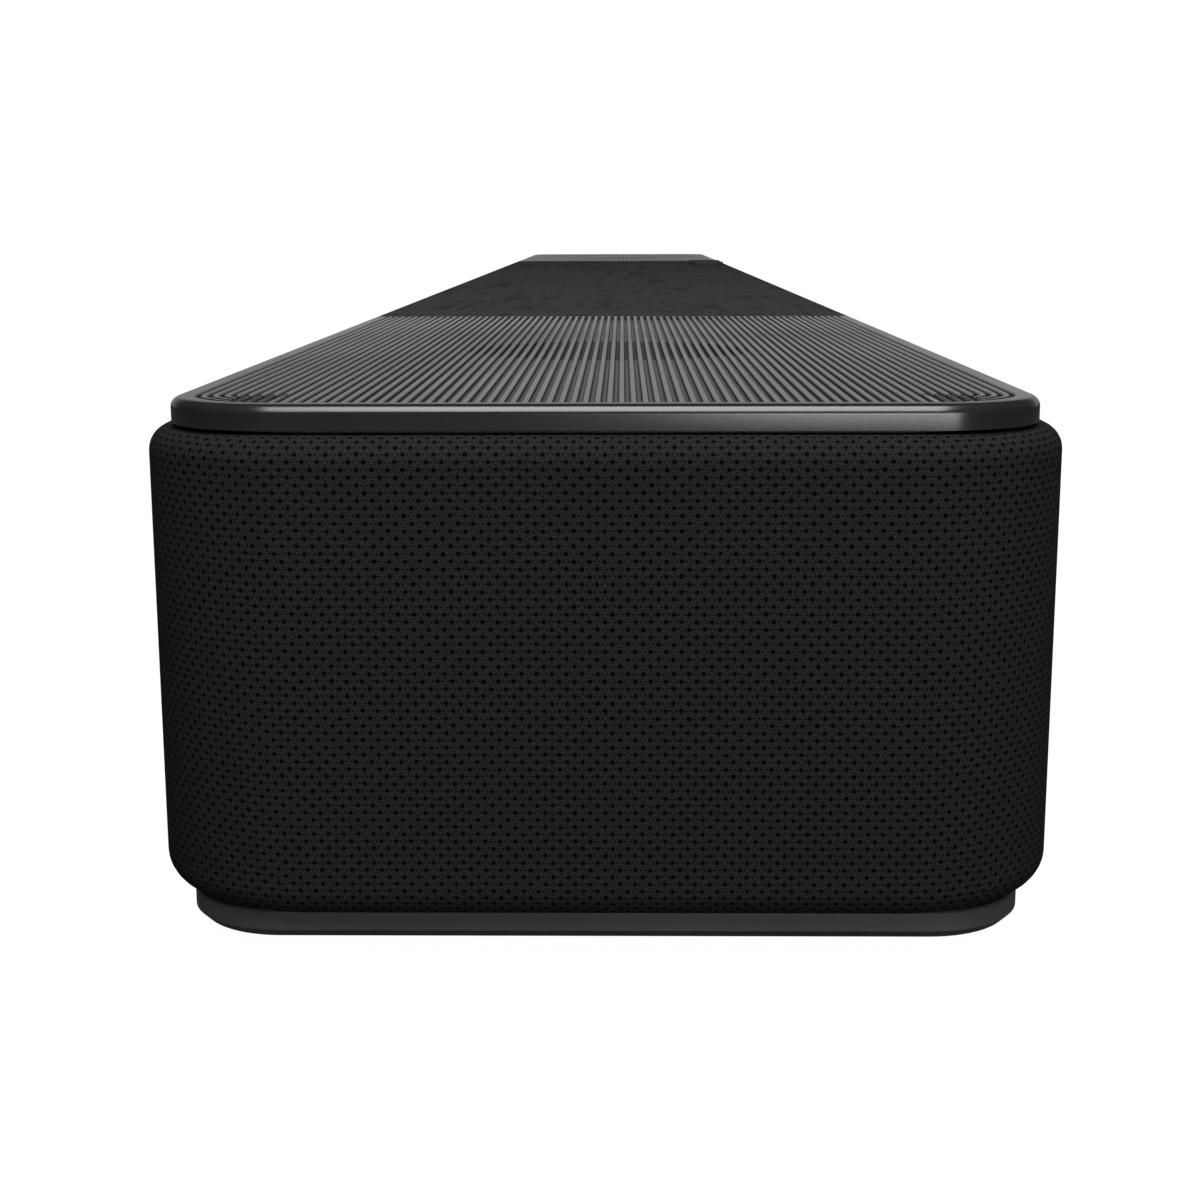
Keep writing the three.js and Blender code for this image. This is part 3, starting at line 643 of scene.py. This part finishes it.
def makeKnob(name, x):
    r, low, top = knobs["radius"], knobs["low"], knobs["top"]
    edge, rim = knobs["lowEdge"], knobs["rimRound"]
    bore, seat = knobs["shaft"] + 0.3, knobs["shaftTop"]
    section = [(0, seat), (bore, seat), (bore, low), (r - edge, low), (r, low + edge), (r, top - rim)]
    section += [(r - rim + rim * cos(pi / 8 * i), top - rim + rim * sin(pi / 8 * i)) for i in range(1, 5)]
    section += [(reach, top - drop) for reach, drop in knobs["dish"]]
    bm = bmesh.new()
    line = [bm.verts.new(((x + a) * mm, knobs["y"] * mm, b * mm)) for a, b in section]
    edges = [bm.edges.new(pair) for pair in zip(line, line[1:])]
    bmesh.ops.spin(bm, geom=line + edges, cent=(x * mm, knobs["y"] * mm, 0), axis=(0, 0, 1),
                   angle=2 * pi, steps=knobs["steps"], use_merge=True, use_duplicate=False)
    bmesh.ops.remove_doubles(bm, verts=bm.verts, dist=1e-7)
    bmesh.ops.recalc_face_normals(bm, faces=bm.faces)
    piece = toObject(bm, name + "Knob")
    place(piece, "knob_metal", name + "_dial", name + "_knob")


for knobName, knobX in knobs["places"].items():
    makeKnob(knobName, knobX)


# base tray, feet

base = {"inset": 4.6, "radius": 14, "low": 3.2, "shoulder": 7.25, "chamfer": 1.25, "lipInset": 6.5,
        "lipTop": 8.4, "wall": 8.1, "floor": 6.2, "subwoofers": (-240, 240), "slot": 6, "slotPitch": 10,
        "grille": 43, "screws": [(-500, -46.5), (500, -46.5), (-500, 46.5), (500, 46.5)],
        "posts": [(-144, -6), (-144, 30), (24, -6), (24, 30), (46, -6), (46, 30), (159, -6), (159, 30)],
        "postTop": 19.7, "postRadius": 3, "screwHead": 3.6, "screwShank": 1.8, "slotEnd": 2.4}


def makeBase():
    piece = toObject(roundedSlab(base["inset"], base["radius"], base["low"], base["shoulder"],
                                 0.25, base["chamfer"], edgeSteps=1), "baseTray")
    shape(piece, "UNION", roundedSlab(base["lipInset"], base["radius"] - 1.9, 5, base["lipTop"], 0.2,
                                      edgeSteps=2))
    shape(piece, "DIFFERENCE", roundedSlab(base["wall"], base["radius"] - 3.5, base["floor"], 20))
    for x in base["subwoofers"]:
        slots = bmesh.new()
        for i in range(-4, 5):
            reach = sqrt(base["grille"] ** 2 - (i * base["slotPitch"]) ** 2)
            middle = x + i * base["slotPitch"]
            addBlock(slots, middle - base["slot"] / 2, middle + base["slot"] / 2, -reach, reach, 2, 7)
        ends = [e for e in slots.edges if abs(e.verts[0].co.z - e.verts[1].co.z) > 1e-6]
        bmesh.ops.bevel(slots, geom=ends, offset=base["slotEnd"] * mm, segments=5, profile=0.5,
                        affect="EDGES", material=-1)
        shape(piece, "DIFFERENCE", slots)
    holes = bmesh.new()
    for x, y in base["screws"]:
        addPost(holes, x, y, base["screwHead"], 2, 5.4)
    shape(piece, "DIFFERENCE", holes)
    shanks = bmesh.new()
    for x, y in base["screws"]:
        addPost(shanks, x, y, base["screwShank"], 3, 8, 20)
    shape(piece, "DIFFERENCE", shanks)
    posts = bmesh.new()
    for x, y in base["posts"]:
        addPost(posts, x, y, base["postRadius"], base["floor"] - 1, base["postTop"], 20)
    shape(piece, "UNION", posts)
    place(piece, "base_plastic", "cabinet", "bottom_case", angle=30)


def makeFoot(node):
    foot = {"corner": 7.95, "edge": 0.7, "rim": 1.6, "lip": 0.4, "dish": 0.4}
    low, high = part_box(node)
    bm = bmesh.new()
    bmesh.ops.create_cube(bm, size=1)
    bmesh.ops.scale(bm, vec=high - low, verts=bm.verts)
    bmesh.ops.translate(bm, vec=(low + high) / 2, verts=bm.verts)
    upright = [e for e in bm.edges if abs(e.verts[0].co.z - e.verts[1].co.z) > 1e-6]
    bmesh.ops.bevel(bm, geom=upright, offset=foot["corner"] * mm, segments=12, profile=0.5,
                    affect="EDGES", material=-1)
    under = [e for e in bm.edges if all(v.co.z < low.z + 1e-6 for v in e.verts)]
    bmesh.ops.bevel(bm, geom=under, offset=foot["edge"] * mm, segments=4, profile=0.5,
                    affect="EDGES", material=-1)
    sole = min(bm.faces, key=lambda f: f.normal.z * f.calc_area())
    bmesh.ops.inset_individual(bm, faces=[sole], thickness=foot["rim"] * mm)
    bmesh.ops.inset_individual(bm, faces=[sole], thickness=foot["lip"] * mm, depth=-foot["dish"] * mm)
    piece = toObject(bm, "".join(w if i == 0 else w.title() for i, w in enumerate(node.split("_"))))
    place(piece, "foot_rubber", "cabinet", node)


makeBase()
for node in [n for n in frame["nodes"] if n.startswith("foot_")]:
    makeFoot(node)
print("base and feet made")


# nodes that keep their CAD shape: edges softened, each with its own finish

def dressNodes():
    bevels = {"rear_panel": 0.5, "keyhole_plate": 0.15, "connection_well": 0.3, "mains_inlet": 0.25,
              "port": 0.2, "jack": 0.2, "screw": 0.15, "": 0.2}
    softened = {"weld": 0.01, "steps": 2, "angle": 42}
    for name, node in frame["nodes"].items():
        if node.hide_render:
            continue
        node.data.materials.clear()
        node.data.materials.append(materials[slotOf[name]])
        weld = node.modifiers.new("weld", "WELD")
        weld.merge_threshold = softened["weld"] * mm
        width = next(w for key, w in bevels.items() if key in name)
        edge = node.modifiers.new("edge", "BEVEL")
        edge.width = width * mm
        edge.segments = softened["steps"]
        edge.limit_method = "ANGLE"
        edge.angle_limit = radians(softened["angle"])


dressNodes()
print("carried nodes dressed")


# floor, sky and lamps

def makeStudio():
    studio = {"floor": 0.06, "glow": 0.985,
              # sky levels: all round, towards the far end low down, and on the right
              "around": 0.012, "farGlow": 0.43, "right": 0.02,
              "boxes": [
                  ("overheadBox", (-1.12, -0.03, 1.45), (-0.55, 0.0, 0.07), (1.6, 0.86), 41),
                  ("behindBox", (-1.75, -0.38, 0.21), (-0.55, 0, 0.05), (0.62, 0.40), 6.2),
                  ("rearBox", (1.0, 2.6, 0.55), (0.15, 0.06, 0.04), (1.4, 0.5), 12),
                  ("frontBox", (1.0, -2.6, 0.55), (0.15, -0.06, 0.04), (1.4, 0.5), 10)]}
    bm = bmesh.new()
    bmesh.ops.create_grid(bm, x_segments=1, y_segments=1, size=12)
    floor = toObject(bm, "studioFloor")
    paint, tree, shader = newMaterial("studioPaper")
    shade = noise(tree, tree.nodes.new("ShaderNodeTexCoord").outputs["Object"], 4, 2)
    tree.links.new(fade(tree, shade, 0, 1, 0.86, 0.94), shader.inputs["Roughness"])
    shader.inputs["Base Color"].default_value = (studio["floor"],) * 3 + (1,)
    shader.inputs["Emission Color"].default_value = (1, 1, 1, 1)
    seenDirectly = tree.nodes.new("ShaderNodeLightPath").outputs["Is Camera Ray"]
    tree.links.new(calc(tree, "MULTIPLY", seenDirectly, studio["glow"]), shader.inputs["Emission Strength"])
    floor.data.materials.append(paint)

    world = bpy.data.worlds.new("studioSky")
    bpy.context.scene.world = world
    world.use_nodes = True
    tree = world.node_tree
    tree.nodes.clear()
    direction = tree.nodes.new("ShaderNodeTexCoord").outputs["Generated"]
    split = addNode(tree, "ShaderNodeSeparateXYZ", {0: direction})
    low = fade(tree, split.outputs[2], 0.42, 0.12)
    farSide = fade(tree, split.outputs[0], 0.55, 0.93)
    glow = calc(tree, "MULTIPLY", calc(tree, "MULTIPLY", low, farSide), studio["farGlow"])
    rightSide = calc(tree, "MULTIPLY", fade(tree, split.outputs[1], 0.2, -0.9), studio["right"])
    level = calc(tree, "ADD", calc(tree, "ADD", glow, rightSide), studio["around"])
    seen = addNode(tree, "ShaderNodeBackground", {"Color": (1, 1, 1, 1), "Strength": 1.0})
    lighting = addNode(tree, "ShaderNodeBackground", {"Color": (1, 1, 1, 1), "Strength": level})
    rays = tree.nodes.new("ShaderNodeLightPath").outputs["Is Camera Ray"]
    mix = addNode(tree, "ShaderNodeMixShader", {0: rays, 1: lighting.outputs[0], 2: seen.outputs[0]})
    end = tree.nodes.new("ShaderNodeOutputWorld")
    tree.links.new(mix.outputs[0], end.inputs[0])

    for name, spot, target, size, power in studio["boxes"]:
        data = bpy.data.lights.new(name, "AREA")
        data.shape = "RECTANGLE"
        data.size, data.size_y = size
        data.energy = power
        lamp = bpy.data.objects.new(name, data)
        lamp.visible_glossy = name not in ("rearBox", "frontBox")  # these two only fill
        bpy.context.scene.collection.objects.link(lamp)
        away = (Vector(spot) - Vector(target)).normalized()
        across = Vector((0, 1, 0)) if abs(away.z) < 0.7 else Vector((1, 0, 0))
        side = (across - across.dot(away) * away).normalized()
        turned = Matrix((side, away.cross(side), away)).transposed()
        lamp.matrix_world = Matrix.Translation(spot) @ turned.to_4x4()
    bpy.context.scene.view_settings.view_transform = "Standard"


makeStudio()
print("studio set")
